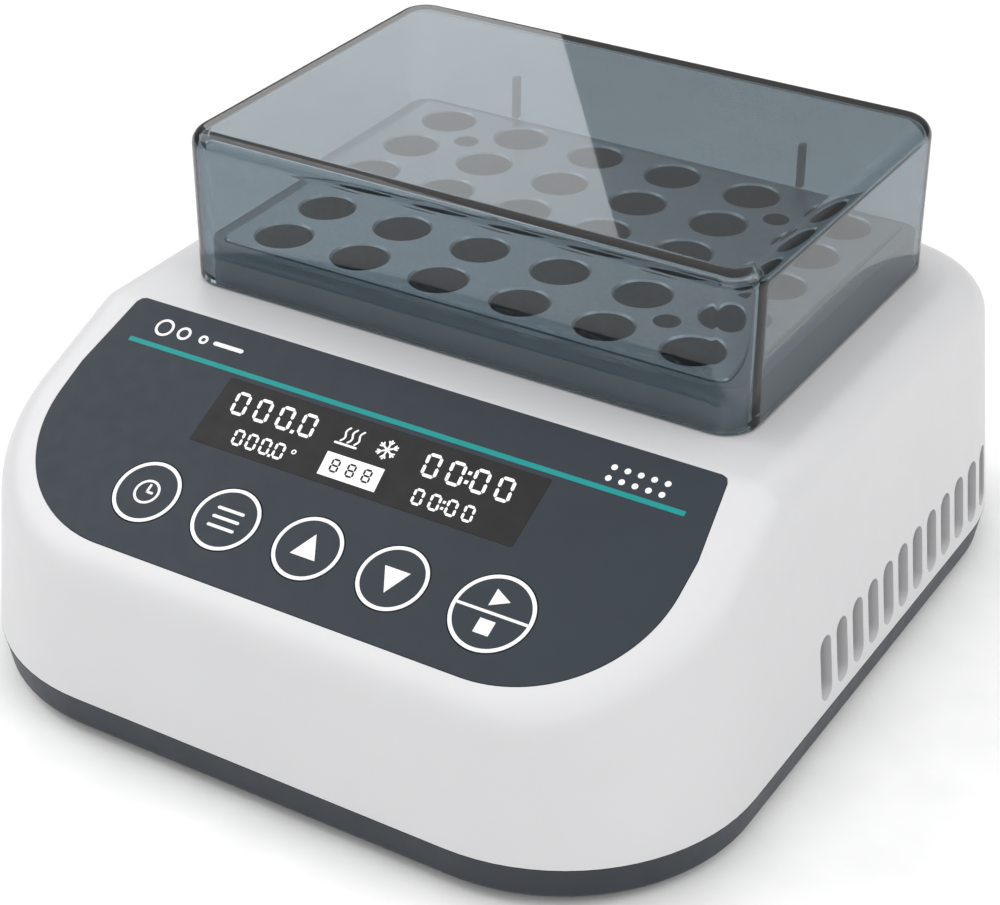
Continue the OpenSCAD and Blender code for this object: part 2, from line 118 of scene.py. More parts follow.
# Block and cover
WELL_PITCH = (17.75, 14.6)
WELL_COUNT = (6, 5)
WELL_PROFILE = [(5.5 + 0.9, 0.5), (5.5, -0.4), (5.5, -18.0), (2.2, -31.0)]
PULLER_CELLS = [(-2, 1.5), (2, 1.5), (2, -1.5)]
PULLER_R = 2.6
COVER_T = 2.8
COVER_CORNER_R = 7
COVER_EDGE_R = 3.4
RIB_X = 33

# ---------- materials ----------


def material(name, color, roughness, metallic=0.0, **inputs):
    """A Principled material with its constants set on the shader's own sockets."""
    mat = bpy.data.materials.new(name)
    mat.use_nodes = True
    shader = mat.node_tree.nodes["Principled BSDF"]
    shader.inputs["Base Color"].default_value = (*color, 1)
    shader.inputs["Roughness"].default_value = roughness
    shader.inputs["Metallic"].default_value = metallic
    for key, value in inputs.items():
        shader.inputs[key.replace("_", " ")].default_value = value
    return mat


def noise(mat, scale, detail=3.0, stretch=(1, 1, 1)):
    """A noise texture in object space, scale in features per metre."""
    nodes, links = mat.node_tree.nodes, mat.node_tree.links
    coords = nodes.new("ShaderNodeTexCoord")
    mapping = nodes.new("ShaderNodeMapping")
    mapping.inputs["Scale"].default_value = stretch
    texture = nodes.new("ShaderNodeTexNoise")
    texture.inputs["Scale"].default_value = scale
    texture.inputs["Detail"].default_value = detail
    links.new(coords.outputs["Object"], mapping.inputs["Vector"])
    links.new(mapping.outputs["Vector"], texture.inputs["Vector"])
    return texture


def mottle(mat, color, spread, scale, stretch=(1, 1, 1)):
    """Varies the base colour a little round its mean."""
    nodes, links = mat.node_tree.nodes, mat.node_tree.links
    ramp = nodes.new("ShaderNodeValToRGB")
    ramp.color_ramp.elements[0].position = 0.3
    ramp.color_ramp.elements[1].position = 0.7
    ramp.color_ramp.elements[0].color = (*[c * (1 - spread) for c in color], 1)
    ramp.color_ramp.elements[1].color = (*[min(1, c * (1 + spread)) for c in color], 1)
    links.new(noise(mat, scale, stretch=stretch).outputs["Fac"], ramp.inputs["Fac"])
    links.new(ramp.outputs["Color"], nodes["Principled BSDF"].inputs["Base Color"])


def rough_range(mat, low, high, scale, stretch=(1, 1, 1)):
    """Varies the roughness between two values."""
    nodes, links = mat.node_tree.nodes, mat.node_tree.links
    remap = nodes.new("ShaderNodeMapRange")
    remap.inputs["From Min"].default_value = 0.3
    remap.inputs["From Max"].default_value = 0.7
    remap.inputs["To Min"].default_value = low
    remap.inputs["To Max"].default_value = high
    links.new(noise(mat, scale, stretch=stretch).outputs["Fac"], remap.inputs["Value"])
    links.new(remap.outputs["Result"], nodes["Principled BSDF"].inputs["Roughness"])


def grain(mat, scale, depth_mm, strength=1.0, stretch=(1, 1, 1)):
    """Fine surface relief."""
    nodes, links = mat.node_tree.nodes, mat.node_tree.links
    bump = nodes.new("ShaderNodeBump")
    bump.inputs["Strength"].default_value = strength
    bump.inputs["Distance"].default_value = depth_mm * MM
    links.new(noise(mat, scale, 2.0, stretch).outputs["Fac"], bump.inputs["Height"])
    links.new(bump.outputs["Normal"], nodes["Principled BSDF"].inputs["Normal"])


def moulded(name, color, roughness, relief_mm=0.02, spread=0.03, **inputs):
    """Moulded plastic: a faint even texture, slight colour and gloss variation."""
    mat = material(name, color, roughness, **inputs)
    mottle(mat, color, spread, 60)
    rough_range(mat, roughness * 0.9, roughness * 1.1, 300)
    grain(mat, 2500, relief_mm, 0.35)
    return mat


def metal(name, color, roughness, stretch=(1, 1, 1), relief_mm=0.01):
    """Bare or anodised metal with fine tool or blast marks."""
    mat = material(name, color, roughness, metallic=1.0)
    mottle(mat, color, 0.05, 900, stretch)
    rough_range(mat, roughness * 0.85, roughness * 1.15, 1500, stretch)
    grain(mat, 4000, relief_mm, 0.3, stretch)
    return mat


def smoky_clear(name):
    """Clear blue-grey polycarbonate, tinted through its thickness."""
    mat = material(name, (0.97, 0.98, 0.99), 0.02, Transmission_Weight=1.0, IOR=1.5)
    rough_range(mat, 0.012, 0.03, 80)
    nodes, links = mat.node_tree.nodes, mat.node_tree.links
    tint = nodes.new("ShaderNodeVolumeAbsorption")
    tint.inputs["Color"].default_value = (0.42, 0.50, 0.54, 1)
    tint.inputs["Density"].default_value = 480.0
    links.new(tint.outputs["Volume"], nodes["Material Output"].inputs["Volume"])
    return mat


SHELL_WHITE = moulded("shell_white", (0.64, 0.64, 0.65), 0.42, spread=0.01)
# Painted shade: the inside of the housing is given a near-black colour so the vents and openings look dark,
# standing in for the shade inside the shell
SHADE_LINING = moulded("inside_painted_shade", (0.035, 0.035, 0.038), 0.6)
TRAY_SLATE = moulded("tray_slate", (0.026, 0.033, 0.043), 0.45, Specular_IOR_Level=0.3)
FILM_SLATE = moulded("overlay_slate", (0.027, 0.036, 0.046), 0.45, relief_mm=0.03, Specular_IOR_Level=0.2)
PRINT_WHITE = moulded("print_white", (0.85, 0.85, 0.85), 0.5, spread=0.01)
PRINT_TEAL = moulded("print_teal", (0.008, 0.27, 0.26), 0.45, Specular_IOR_Level=0.2)
LCD_FACE = moulded("lcd_black", (0.012, 0.012, 0.012), 0.5, Specular_IOR_Level=0.25)
LIT_WHITE = (0.80, 0.81, 0.80)
LCD_LIT = material("lcd_lit", LIT_WHITE, 0.4, Emission_Color=(0.8, 0.82, 0.8, 1), Emission_Strength=0.25)
mottle(LCD_LIT, LIT_WHITE, 0.02, 500)
COVER = smoky_clear("cover_smoke")
BLOCK_METAL = metal("block_aluminium", (0.72, 0.74, 0.76), 0.40, relief_mm=0.002)
COLLAR_GREY = moulded("collar_grey", (0.72, 0.76, 0.79), 0.5)
STEEL = metal("screw_steel", (0.62, 0.62, 0.63), 0.3)
BLACK = moulded("black_plastic", (0.018, 0.018, 0.020), 0.42)
RUBBER = moulded("rubber_black", (0.02, 0.02, 0.02), 0.7, relief_mm=0.04)

SLOT_LOOKS = {
    "shell_white": SHELL_WHITE,
    "tray_slate": TRAY_SLATE,
    "overlay_slate": FILM_SLATE,
    "window_tint": LCD_FACE,
    "cover_smoke": COVER,
    "block_aluminium": BLOCK_METAL,
    "plate_aluminium": metal("plate_aluminium", (0.70, 0.71, 0.73), 0.35, (1, 12, 1)),
    "collar_grey": COLLAR_GREY,
    "lcd_black": moulded("lcd_glass", (0.012, 0.012, 0.013), 0.2),
    "backlight_white": moulded("backlight_white", (0.8, 0.8, 0.77), 0.3),
    "board_green": moulded("board_green", (0.02, 0.13, 0.05), 0.35, spread=0.15),
    "black_plastic": BLACK,
    "rubber_black": RUBBER,
    "screw_steel": STEEL,
    "module_ceramic": moulded("module_ceramic", (0.82, 0.81, 0.78), 0.6),
    "foam": moulded("foam", (0.60, 0.54, 0.34), 0.9, relief_mm=0.3, spread=0.12),
    "transformer_yellow": moulded("transformer_yellow", (0.62, 0.48, 0.05), 0.35),
    "capacitor_blue": moulded("capacitor_blue", (0.02, 0.03, 0.09), 0.3),
}


def dress_cad_nodes():
    """Gives every carried-over CAD node its slot's material."""
    slots = {part["node"]: part["material_slot"] for part in frame["record"]["subparts"]}
    for node, obj in frame["nodes"].items():
        if obj.type != "MESH":
            continue
        look = SLOT_LOOKS[slots[node]]
        for material_slot in obj.material_slots:
            material_slot.material = look


# ---------- mesh helpers (all inputs in millimetres) ----------


def link(obj):
    """Adds an object to the scene."""
    bpy.context.scene.collection.objects.link(obj)
    return obj


def mesh_object(name, points, faces, look):
    mesh = bpy.data.meshes.new(name)
    mesh.from_pydata([Vector(p) * MM for p in points], [], faces)
    mesh.validate()
    mesh.update()
    obj = link(bpy.data.objects.new(name, mesh))
    obj.data.materials.append(look)
    return obj


def apply_modifiers(obj):
    """Replaces the mesh by its evaluated copy."""
    graph = bpy.context.evaluated_depsgraph_get()
    mesh = bpy.data.meshes.new_from_object(obj.evaluated_get(graph))
    obj.modifiers.clear()
    obj.data = mesh


def boolean(obj, tools, operation="DIFFERENCE"):
    """Cuts closed tool objects out of obj, or joins them to it, and removes the tools."""
    for tool in tools:
        modifier = obj.modifiers.new("cut", "BOOLEAN")
        modifier.operation = operation
        modifier.solver = "EXACT"
        modifier.material_mode = "TRANSFER"
        modifier.object = tool
        apply_modifiers(obj)
        bpy.data.objects.remove(tool)


def clean_mesh(obj, merge_mm=0.0):
    """Merges points closer than merge_mm and turns every face outwards."""
    clean = bmesh.new()
    clean.from_mesh(obj.data)
    if merge_mm:
        bmesh.ops.remove_doubles(clean, verts=clean.verts, dist=merge_mm * MM)
    bmesh.ops.recalc_face_normals(clean, faces=clean.faces)
    clean.to_mesh(obj.data)
    clean.free()
    return obj


def soften(obj, angle):
    """Smooth shading, with edges over the angle kept sharp and flats kept flat."""
    for polygon in obj.data.polygons:
        polygon.use_smooth = True
    obj.data.set_sharp_from_angle(angle=math.radians(angle))
    weighted = obj.modifiers.new("flats", "WEIGHTED_NORMAL")
    weighted.keep_sharp = True
    weighted.weight = 80
    apply_modifiers(obj)
    return obj


def circle_points(r, count=64, x=0.0, y=0.0, start=0.0):
    step = 2 * math.pi / count
    return [(x + r * math.cos(start + i * step), y + r * math.sin(start + i * step)) for i in range(count)]


def rounded_rect(w, d, r, x=0.0, y=0.0, steps=12):
    """Points round a rectangle with round corners, anticlockwise."""
    points = []
    for corner in range(4):
        cx = x + (1 if corner in (0, 3) else -1) * (w / 2 - r)
        cy = y + (1 if corner in (0, 1) else -1) * (d / 2 - r)
        for i in range(steps + 1):
            a = math.radians(90 * (corner + i / steps))
            points.append((cx + r * math.cos(a), cy + r * math.sin(a)))
    return points


def loft(name, rings, look):
    """Skins rings of equal point counts, from the first to the last, and closes both ends."""
    count = len(rings[0])
    points = [p for ring in rings for p in ring]
    faces = []
    for k in range(len(rings) - 1):
        for i in range(count):
            j = (i + 1) % count
            a, b = k * count, (k + 1) * count
            faces.append((a + i, a + j, b + j, b + i))
    faces.append(tuple(reversed(range(count))))
    faces.append(tuple((len(rings) - 1) * count + i for i in range(count)))
    return mesh_object(name, points, faces, look)


def prism(name, outline, z0, z1, look=SHELL_WHITE):
    return loft(name, [[(x, y, z) for x, y in outline] for z in (z0, z1)], look)


def panel_matrix():
    """Takes panel coordinates (x across, y up the slope, z outwards) to the frame, in metres."""
    return Matrix.Translation(Vector((0, KNEE_Y, DECK_Z)) * MM) @ Matrix.Rotation(SLOPE, 4, "X")


def onto_panel(obj):
    obj.data.transform(panel_matrix())
    return obj


def flat_shape(name, loops, z0, thickness, look, edge=0.0):
    """A flat piece with straight walls and optional rounded edges: inner loops are holes."""
    curve = bpy.data.curves.new(name, "CURVE")
    curve.dimensions = "2D"
    curve.fill_mode = "BOTH"
    curve.extrude = (thickness / 2 - edge) * MM
    curve.bevel_depth = edge * MM
    curve.bevel_resolution = 2
    curve.offset = -edge * MM
    for loop in loops:
        spline = curve.splines.new("POLY")
        spline.points.add(len(loop) - 1)
        for point, (x, y) in zip(spline.points, loop):
            point.co = (x * MM, y * MM, 0, 1)
        spline.use_cyclic_u = True
    source = link(bpy.data.objects.new(name, curve))
    graph = bpy.context.evaluated_depsgraph_get()
    mesh = bpy.data.meshes.new_from_object(source.evaluated_get(graph))
    bpy.data.objects.remove(source)
    mesh.transform(Matrix.Translation((0, 0, (z0 + thickness / 2) * MM)))
    mesh.materials.clear()
    mesh.materials.append(look)
    return clean_mesh(link(bpy.data.objects.new(name, mesh)), 0.001)


def join(name, pieces):
    """Joins pieces that share a body into one object."""
    base = pieces[0]
    joined = bmesh.new()
    for piece in pieces:
        joined.from_mesh(piece.data)
    mesh = bpy.data.meshes.new(name)
    joined.to_mesh(mesh)
    joined.free()
    for look in base.data.materials:
        mesh.materials.append(look)
    for piece in pieces:
        bpy.data.objects.remove(piece)
    return link(bpy.data.objects.new(name, mesh))


# ---------- housing ----------

WALL_STEPS = 10
FILLET_STEPS = 12
CORNER_STEPS = 20
KNEE_STEPS = 6


def edge_radius(nx, ny):
    """Radius of the rounded top edge where the outline faces (nx, ny)."""
    back = BACK_FILLET if ny > 0 else SIDE_FILLET
    return SIDE_FILLET * nx * nx + back * ny * ny


def ball(cx, cy, nx, ny, r):
    """Centre of the ball that rounds the top edge above the outline point in direction n, and
    the slope's share of its upper tangent: 0 on the deck and 1 on the slope."""
    fall = math.tan(SLOPE)
    knee = KNEE_Y + r * math.tan(SLOPE / 2)
    inset = r / math.cos(DRAFT)
    flat_z = DECK_Z - r
    y_base = cy + ny * (CORNER_R - inset + LEAN * SPLIT_Z)
    z, on_slope = flat_z, 0.0
    if y_base - ny * LEAN * flat_z < knee:
        z = (flat_z + fall * (y_base - knee)) / (1 + fall * ny * LEAN)
        on_slope = 1.0
    reach = CORNER_R - inset - LEAN * (z - SPLIT_Z)
    return Vector((cx + nx * reach, cy + ny * reach, z)), on_slope


def outline_stations():
    """Round the housing: outline centre, direction, and for the knee the ball and tangent to use."""
    side_x, side_y = HALF_W - CORNER_R, HALF_D - CORNER_R
    stations = []
    for corner in range(4):
        cx = side_x if corner in (0, 3) else -side_x
        cy = side_y if corner in (0, 1) else -side_y
        for i in range(CORNER_STEPS + 1):
            a = math.radians(90 * (corner + i / CORNER_STEPS))
            stations.append((cx, cy, math.cos(a), math.sin(a), None))
        if corner in (1, 3):
            side = -1 if corner == 1 else 1
            knee = KNEE_Y + SIDE_FILLET * math.tan(SLOPE / 2)
            shares = [i / KNEE_STEPS for i in range(KNEE_STEPS + 1)]
            if corner == 3:
                shares.reverse()
            for share in shares:
                stations.append((side * side_x, knee, side, 0.0, share))
    return stations


def body_column(station, inset, drop):
    """Points up the wall and over the rounded edge at one station."""
    cx, cy, nx, ny, share = station
    r = edge_radius(nx, ny)
    if share is None:
        centre, share = ball(cx, cy, nx, ny, r)
    else:
        z = DECK_Z - SIDE_FILLET
        reach = CORNER_R - r / math.cos(DRAFT) - LEAN * (z - SPLIT_Z)
        centre = Vector((cx + nx * reach, cy, z))
    r_in = r - inset
    foot = Vector((cx + nx * (CORNER_R - inset), cy + ny * (CORNER_R - inset), SPLIT_Z - drop))
    wall_normal = Vector((nx * math.cos(DRAFT), ny * math.cos(DRAFT), math.sin(DRAFT)))
    tilt = SLOPE * share
    top_normal = Vector((0, -math.sin(tilt), math.cos(tilt)))
    low = centre + wall_normal * r_in
    column = [foot.lerp(low, i / WALL_STEPS) for i in range(WALL_STEPS)]
    turn = wall_normal.angle(top_normal)
    for i in range(FILLET_STEPS + 1):
        t = i / FILLET_STEPS
        normal = (wall_normal * math.sin((1 - t) * turn) + top_normal * math.sin(t * turn)) / math.sin(turn)
        column.append(centre + normal * r_in)
    return column, centre.y, share


def body_form(name, inset=0.0, drop=0.0):
    """The closed outer form of the shell, or a smaller copy of it."""
    stations = outline_stations()
    columns = [body_column(s, inset, drop) for s in stations]
    height = len(columns[0][0])
    points = [p for column, _, _ in columns for p in column]
    count = len(columns)
    faces = []
    for i in range(count):
        j = (i + 1) % count
        for k in range(height - 1):
            faces.append((i * height + k, j * height + k, j * height + k + 1, i * height + k + 1))
    faces.append(tuple(reversed([i * height for i in range(count)])))
    tops = [i * height + height - 1 for i in range(count)]
    shares = [share for _, _, share in columns]
    left = [i for i in range(count) if stations[i][4] is not None and stations[i][0] < 0]
    right = [i for i in range(count) if stations[i][4] is not None and stations[i][0] > 0]
    right.reverse()
    for a in range(len(left) - 1):
        faces.append((tops[left[a]], tops[left[a + 1]], tops[right[a + 1]], tops[right[a]]))
    deck = [tops[i] for i in range(count) if shares[i] == 0.0]
    slope = [tops[i] for i in range(count) if shares[i] == 1.0]
    order = sorted(range(len(deck)), key=lambda n: math.atan2(points[deck[n]].y - 25, points[deck[n]].x))
    faces.append(tuple(deck[n] for n in order))
    order = sorted(range(len(slope)), key=lambda n: math.atan2(points[slope[n]].y + 55, points[slope[n]].x))
    faces.append(tuple(slope[n] for n in order))
    return clean_mesh(mesh_object(name, points, faces, SHELL_WHITE), 0.0005)


def panel_outline(grow=0.0, steps=32):
    """Outline of the control film: straight top, slanted sides, two large bottom corners."""
    side = PANEL_HALF_W + grow
    r = PANEL_CORNER_R + grow
    low = -PANEL_LEN - grow
    top_half = side - 2.4
    nib = 1.4
    points = []
    for i in range(steps + 1):
        a = math.radians(180 + 90 * i / steps)
        points.append((-side + r + r * math.cos(a), low + r + r * math.sin(a)))
    for i in range(steps + 1):
        a = math.radians(270 + 90 * i / steps)
        points.append((side - r + r * math.cos(a), low + r + r * math.sin(a)))
    points += [(side, low + r + 7), (top_half + 0.15, grow - nib), (top_half - nib * 0.3, grow - nib * 0.3)]
    points += [(top_half - nib, grow), (-top_half + nib, grow), (-top_half + nib * 0.3, grow - nib * 0.3)]
    points += [(-top_half - 0.15, grow - nib), (-side, low + r + 7)]
    return points


def display_outline():
    return rounded_rect(DISPLAY_W, DISPLAY_LEN, 0.3, 0.0, DISPLAY_Y, steps=3)


def vent_cutters():
    """Slots with round ends, right through the housing from side to side."""
    turn = Matrix.Rotation(math.radians(90), 4, "Y")
    outline = rounded_rect(VENT_HIGH - VENT_LOW, VENT_W, VENT_W / 2 - 0.001, 0, 0, steps=14)
    cutters = []
    for i in range(VENT_COUNT):
        middle = Vector((0, BLOCK_Y + (i - (VENT_COUNT - 1) / 2) * VENT_PITCH, (VENT_LOW + VENT_HIGH) / 2))
        cutter = prism(f"vent{i}", outline, -HALF_W - 5, HALF_W + 5)
        cutter.data.transform(Matrix.Translation(middle * MM) @ turn)
        cutters.append(cutter)
    return join("vents", cutters)


def box_cutter(name, low, high):
    outline = [(low[0], low[1]), (high[0], low[1]), (high[0], high[1]), (low[0], high[1])]
    return prism(name, outline, low[2], high[2])


def rear_cutters():
    """Openings for the mains inlet, the switch and the fuse."""
    inlet = box_cutter("inlet_hole", (-34, 70, 13), (-6, 100, 33))
    switch = box_cutter("switch_hole", (14.5, 70, 16.5), (33.5, 100, 29.5))
    fuse = prism("fuse_hole", circle_points(FUSE_HOLE_R, 48), -20, 20)
    at = Matrix.Translation(Vector((FUSE_X, 85, REAR_Z)) * MM)
    fuse.data.transform(at @ Matrix.Rotation(math.radians(90), 4, "X"))
    return [inlet, switch, fuse]


def panel_cutters():
    """The film's shallow recess, the display's opening and the key holes."""
    recess = onto_panel(prism("recess", panel_outline(0.1), -0.4, 3))
    window = onto_panel(prism("window", display_outline(), -8, 3))
    keys = []
    for node, x in KEY_X.items():
        r = KEY_R.get(node, SMALL_KEY_R) + 0.3
        keys.append(prism("key_hole", circle_points(r, 72, x, -KEY_V), -8, 3))
    return [recess, window, onto_panel(join("key_holes", keys))]


def make_upper_shell():
    """White housing: hollowed form, flat rear pad, and all its openings."""
    shell = body_form("upper_shell_skin")
    inner = body_form("inner", SHELL_T, 1.0)
    # The inner faces take the near-black lining, painted shade for the inside of the housing
    inner.data.materials[0] = SHADE_LINING
    pad = box_cutter(
        "pad",
        (-REAR_PAD_HALF_W, REAR_PAD_INNER_Y, SPLIT_Z + 2.2),
        (REAR_PAD_HALF_W, REAR_PAD_Y, REAR_PAD_TOP),
    )
    pad_face = box_cutter(
        "pad_face",
        (-REAR_PAD_HALF_W, REAR_PAD_Y, SPLIT_Z + 1.2),
        (REAR_PAD_HALF_W, REAR_PAD_Y + 5, REAR_PAD_TOP),
    )
    deck_hole = prism(
        "deck_hole",
        rounded_rect(collar_high.x - collar_low.x - 4, collar_high.y - collar_low.y - 4, 4, 0, BLOCK_Y),
        DECK_Z - 10,
        DECK_Z + 10,
    )
    boolean(shell, [inner])
    boolean(shell, [pad], "UNION")
    boolean(shell, [pad_face, vent_cutters(), deck_hole])
    boolean(shell, panel_cutters())
    boolean(shell, rear_cutters())
    soften(shell, angle=28)
    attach(shell, "housing")
    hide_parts("upper_shell")


def make_base_tray():
    """Tray with a rounded lower edge, a floor, and a lip inside the shell."""
    inset_low, edge = 1.0, 1.6
    rings = []
    for i in range(7):
        a = math.radians(90 * i / 6)
        inset = inset_low + edge * (1 - math.sin(a))
        z = TRAY_BOTTOM + edge * (1 - math.cos(a))
        rings.append((inset, z))
    rings.append((0.12, SPLIT_Z - 0.5))
    rings.append((0.0, SPLIT_Z - 0.25))
    rings.append((0.35, SPLIT_Z - 0.02))

    def ring(inset, z):
        outline = rounded_rect(2 * (HALF_W - inset), 2 * (HALF_D - inset), CORNER_R - inset, steps=24)
        return [(x, y, z) for x, y in outline]

    levels = [ring(inset, z) for inset, z in rings]
    levels += [ring(3.1, SPLIT_Z - 0.02), ring(3.1, SPLIT_Z + 1), ring(5.2, SPLIT_Z + 1), ring(5.2, 4.5)]
    tray = loft("base_tray_skin", levels, TRAY_SLATE)
    holes = []
    for x, y in FOOT_AT:
        holes.append(prism("foot_seat", circle_points(FOOT_R, 48, x, y), 0, 2.8))
    for x, y in SCREW_AT:
        holes.append(prism("screw_seat", circle_points(SCREW_HEAD_R, 40, x, y), 0, 4.2))
    boolean(tray, [join("tray_holes", holes)])
    soften(tray, angle=32)
    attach(tray, "housing")
    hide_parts("base_tray")


# ---------- block and cover ----------


def well_cutter(x, y):
    """One tube well: chamfered mouth, straight bore, conical bottom."""
    rings = []
    for r, z in reversed(WELL_PROFILE):
        rings.append([(px, py, BLOCK_TOP + z) for px, py in circle_points(r, 72, x, y)])
    return loft("well", rings, BLOCK_METAL)


def make_block():
    """Aluminium block with its wells and three puller holes."""
    pitch_x, pitch_y = WELL_PITCH
    columns, rows = WELL_COUNT
    w, d = block_high.x - block_low.x, block_high.y - block_low.y
    bevel = 0.35
    rings = []
    for inset, z in ((0, block_low.z), (0, BLOCK_TOP - bevel), (bevel, BLOCK_TOP)):
        outline = rounded_rect(w - 2 * inset, d - 2 * inset, 2 - inset, 0, BLOCK_Y, 6)
        rings.append([(x, y, z) for x, y in outline])
    block = loft("heating_block_skin", rings, BLOCK_METAL)
    cutters = []
    for i in range(columns):
        for j in range(rows):
            x = (i - (columns - 1) / 2) * pitch_x
            cutters.append(well_cutter(x, BLOCK_Y + (j - (rows - 1) / 2) * pitch_y))
    for x, y in PULLER_CELLS:
        outline = circle_points(PULLER_R, 40, x * pitch_x, BLOCK_Y + y * pitch_y)
        cutters.append(prism("puller", outline, BLOCK_TOP - 20, BLOCK_TOP + 1))
    boolean(block, [join("wells", cutters)])
    soften(block, angle=35)
    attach(block, "housing")
    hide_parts("heating_block")


FOOT_ROUND = 0.9


def cover_rings(inset, foot):
    """Rings up the cover: a rounded foot, upright walls, and a rounded top edge."""
    w, d = cover_high.x - cover_low.x, cover_high.y - cover_low.y
    top = cover_high.z - inset
    edge = COVER_EDGE_R - inset * 0.75
    levels = [(0.0, top - edge)]
    if inset == 0:
        for i in range(5):
            a = math.radians(90 * i / 4)
            levels.insert(i, (FOOT_ROUND * (1 - math.sin(a)), foot + FOOT_ROUND * (1 - math.cos(a))))
    else:
        levels.insert(0, (0.0, foot))
    for i in range(1, 11):
        a = math.radians(90 * i / 10)
        levels.append((edge * (1 - math.cos(a)), top - edge + edge * math.sin(a)))
    rings = []
    for shrink, z in levels:
        cut = inset + shrink
        r = max(COVER_CORNER_R - cut, 0.8)
        outline = rounded_rect(w - 2 * cut, d - 2 * cut, r, 0, BLOCK_Y, 14)
        rings.append([(x, y, z) for x, y in outline])
    return rings


def make_cover():
    """Clear cover, open below, with two small ribs inside its rear wall."""
    foot = cover_low.z
    outer = cover_rings(0.0, foot)
    inner = cover_rings(COVER_T, foot)
    rings = list(reversed(outer)) + inner
    cover = clean_mesh(loft("tube_cover_skin", rings, COVER))
    rear = cover_high.y - COVER_T
    for x in (-RIB_X, RIB_X):
        rib = box_cutter("rib", (x - 0.6, rear - 1.6, foot + 9), (x + 0.6, rear + 0.4, foot + 18))
        boolean(cover, [rib], "UNION")
    soften(cover, angle=40)
    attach(cover, "tube_cover")
    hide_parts("tube_cover")


# ---------- control panel ----------

PRINT_T = 0.06
FILM_TOP = 0.1
LCD_TOP = 0.1


def ring_loops(x, y, r, width):
    return [circle_points(r, 96, x, y), circle_points(r - width, 96, x, y)]


def bar(x0, y0, x1, y1, width, round_ends=True):
    """A stroke between two points, as a closed outline."""
    a = math.atan2(y1 - y0, x1 - x0)
    h = width / 2
    points = []
    for cx, cy, start in ((x1, y1, a - math.pi / 2), (x0, y0, a + math.pi / 2)):
        if round_ends:
            for i in range(9):
                t = start + math.pi * i / 8
                points.append((cx + h * math.cos(t), cy + h * math.sin(t)))
        else:
            points.append((cx + h * math.cos(start), cy + h * math.sin(start)))
            points.append((cx - h * math.cos(start), cy - h * math.sin(start)))
    return points


def printed(name, shapes, z0, look, body):
    """Printed marks: each shape is a list of loops. They ride on a body as one piece."""
    pieces = [flat_shape(name, loops, z0, PRINT_T, look) for loops in shapes]
    piece = onto_panel(join(name, pieces))
    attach(piece, body)
    return piece


def make_overlay():
    """Control film, display window and the teal stripe."""
    loops = [panel_outline(), display_outline()]
    for node, x in KEY_X.items():
        loops.append(circle_points(KEY_R.get(node, SMALL_KEY_R) + 0.12, 96, x, -KEY_V))
    film = flat_shape("control_film", loops, -0.4, 0.5, FILM_SLATE, edge=0.06)
    onto_panel(film)
    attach(film, "housing")
    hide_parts("control_overlay")
    window = flat_shape(
        "display_window_skin", [display_outline()], -SHELL_T, SHELL_T + LCD_TOP, LCD_FACE, edge=0.05
    )
    onto_panel(window)
    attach(window, "housing")
    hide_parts("display_window")
    stripe = bar(-59.5, -9.6, 59.4, -9.6, 1.05, round_ends=False)
    printed("teal_stripe", [[stripe]], FILM_TOP, PRINT_TEAL, "housing")


def make_marks():
    """Plain marks at the panel's top corners: rings with a short bar, and a grid of dots."""
    shapes = []
    for k, r in enumerate((2.0, 1.5, 1.0)):
        shapes.append(ring_loops(-54.0 + 4.6 * k, -5.2, r, 0.55))
    shapes.append([bar(-42.0, -5.2, -36.0, -5.2, 0.9)])
    for i in range(5):
        for j in range(2):
            shapes.append([circle_points(0.6, 24, 43.5 + 2.6 * i, -7.4 + 2.4 * j)])
    printed("panel_marks", shapes, FILM_TOP, PRINT_WHITE, "housing")


def key_icon(node, x, y):
    """Plain symbol of a key: dial, bars, triangle, or play over stop."""
    if node == "program_key":
        shapes = [ring_loops(x, y, 2.6, 0.5), [bar(x, y, x, y + 1.5, 0.5)], [bar(x, y, x + 1.1, y, 0.5)]]
        return shapes
    if node == "menu_key":
        return [[bar(x - 2.6, y + dy, x + 2.6, y + dy, 0.62)] for dy in (-1.9, 0.0, 1.9)]
    if node in ("up_key", "down_key"):
        s = 1 if node == "up_key" else -1
        return [[[(x - 2.6, y - 1.9 * s), (x + 2.6, y - 1.9 * s), (x, y + 3.1 * s)]]]
    stop = [[(x - 1.5, y - 4.3), (x + 1.5, y - 4.3), (x + 1.5, y - 1.4), (x - 1.5, y - 1.4)]]
    play = [[(x - 1.4, y + 1.2), (x + 2.0, y + 2.95), (x - 1.4, y + 4.7)]]
    return [play, stop, [bar(x - 6.9, y, x + 6.9, y, 0.55, round_ends=False)]]


def make_keys():
    """The five pressed areas of the film, each with its ring and symbol."""
    for node, x in KEY_X.items():
        r = KEY_R.get(node, SMALL_KEY_R)
        cap = flat_shape(node + "_cap", [circle_points(r, 96, x, -KEY_V)], -0.9, 1.0, FILM_SLATE, edge=0.06)
        stem = prism(node + "_stem", circle_points(2, 24, x, -KEY_V), -4.0, -0.8, FILM_SLATE)
        key = onto_panel(join(node + "_skin", [cap, stem]))
        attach(key, node)
        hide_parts(node)
        ring = ring_loops(x, -KEY_V, r - 0.12, 0.72)
        shapes = [ring] + key_icon(node, x, -KEY_V)
        printed(node + "_print", shapes, FILM_TOP, PRINT_WHITE, node)


# ---------- display ----------

SEGMENTS = {"0": "abcdef", "8": "abcdefg"}
DIGIT_WIDTH = 0.58
DIGIT_SLANT = -0.13


